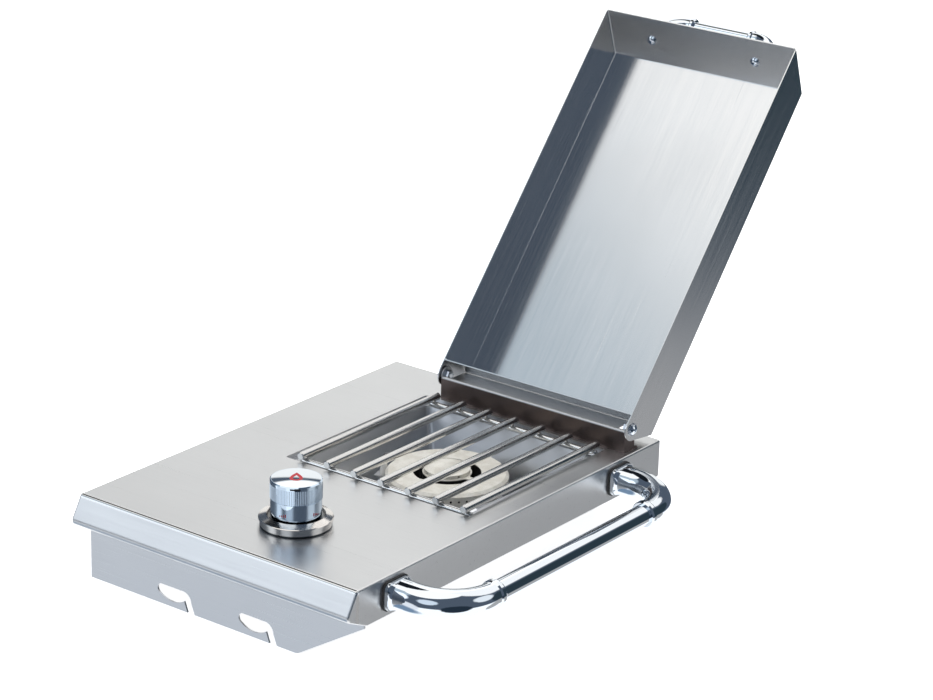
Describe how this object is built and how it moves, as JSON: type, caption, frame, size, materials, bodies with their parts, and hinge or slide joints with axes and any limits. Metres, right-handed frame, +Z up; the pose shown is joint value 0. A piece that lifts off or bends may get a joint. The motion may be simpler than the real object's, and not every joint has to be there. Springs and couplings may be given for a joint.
{
  "type": "gas side burner",
  "caption": "Stainless gas side burner shelf with a hinged open lid, rod grate, round burner, push-and-turn knob, towel rail and hook plates.",
  "frame": {"origin": "middle of the line of the two side screw holes, on the outer face of the left flange", "axes": "+X from the barbecue side to the towel rail, +Y from the nose to the back, +Z up"},
  "size_m": [0.4482, 0.8124, 0.4784],
  "materials": {
    "stainless_sheet": "brushed along its length",
    "hook_steel": "satin",
    "chrome": "polished",
    "knob_face": "satin",
    "black_inlay": "matte",
    "steel_rod": "satin",
    "burner_casting": "coated, matte",
    "gasket": "matte",
    "zinc": "zinc plated",
    "galvanised": "galvanised",
    "brass": "turned",
    "valve_alloy": "die cast",
    "ceramic": "glazed",
    "electrode": "plain"
  },
  "bodies": {
    "shelf": {"bezel": "chrome", "bezel_screws": "zinc", "bracket_screws": "zinc", "burner_body": "burner_casting", "burner_bracket": "galvanised", "burner_hub": "burner_casting", "burner_pan": "stainless_sheet", "burner_screws": "zinc", "deck_panel": "stainless_sheet", "front_hook_plate": "hook_steel", "gas_jet": "brass", "hinge_bolts": "zinc", "hinge_nuts": "zinc", "hinge_riser": "stainless_sheet", "hinge_spacers": "zinc", "hinge_washers": "zinc", "igniter_bracket": "galvanised", "igniter_ceramic": "ceramic", "igniter_screw": "zinc", "igniter_tip": "electrode", "inlet_fitting": "brass", "inlet_seal": "gasket", "inner_cap": "burner_casting", "mixing_tube": "galvanised", "pan_frame": "stainless_sheet", "pan_nuts": "zinc", "pan_studs": "zinc", "rail_bar": "chrome", "rail_elbow_front": "chrome", "rail_elbow_rear": "chrome", "rail_gaskets": "gasket", "rail_screws": "zinc", "rail_washers": "zinc", "rear_hook_plate": "hook_steel", "riser_rivets": "zinc", "stem_spring": "zinc", "valve_body": "valve_alloy", "valve_bracket": "galvanised"},
    "lid": {"lid_shell": "stainless_sheet", "handle_elbow_left": "chrome", "handle_elbow_right": "chrome", "handle_bar": "chrome", "handle_screws": "zinc"},
    "grate": {"grate_rod_1": "steel_rod", "grate_rod_2": "steel_rod", "grate_rod_3": "steel_rod", "grate_rod_4": "steel_rod", "grate_rod_5": "steel_rod", "grate_rod_6": "steel_rod", "grate_rod_7": "steel_rod", "grate_front_bar": "steel_rod", "grate_rear_bar": "steel_rod"},
    "knob_slide": {"spring_washer": "zinc"},
    "knob": {"knob": "chrome", "knob_cap": "knob_face", "knob_pointer": "black_inlay", "knob_clip": "zinc", "valve_stem": "brass"},
    "shutter": {"air_shutter": "galvanised", "shutter_screw": "zinc"}
  },
  "joints": [
    {"name": "lid_hinge", "type": "hinge", "parent": "shelf", "child": "lid", "pos_m": [0.231, 0.2045, 0.0455], "axis": [1, 0, 0], "range_deg": [0, 131.52]},
    {"name": "knob_push", "type": "slide", "parent": "shelf", "child": "knob_slide", "axis": [0, 0, -1], "range_m": [0, 0.003], "stiffness_N_per_m": 2500, "springref_m": -0.002, "deforming": ["stem_spring"]},
    {"name": "knob_turn", "type": "hinge", "parent": "knob_slide", "child": "knob", "pos_m": [0.2135, -0.1715, 0.0205], "axis": [0, 0, 1], "range_deg": [0, 210]},
    {"name": "grate_lift", "type": "slide", "parent": "shelf", "child": "grate", "axis": [0, 0, 1], "range_m": [0, 0.025]},
    {"name": "shutter_turn", "type": "hinge", "parent": "shelf", "child": "shutter", "pos_m": [0.2135, -0.1415, -0.0295], "axis": [0, 1, 0], "range_deg": [0, 60]}
  ]
}
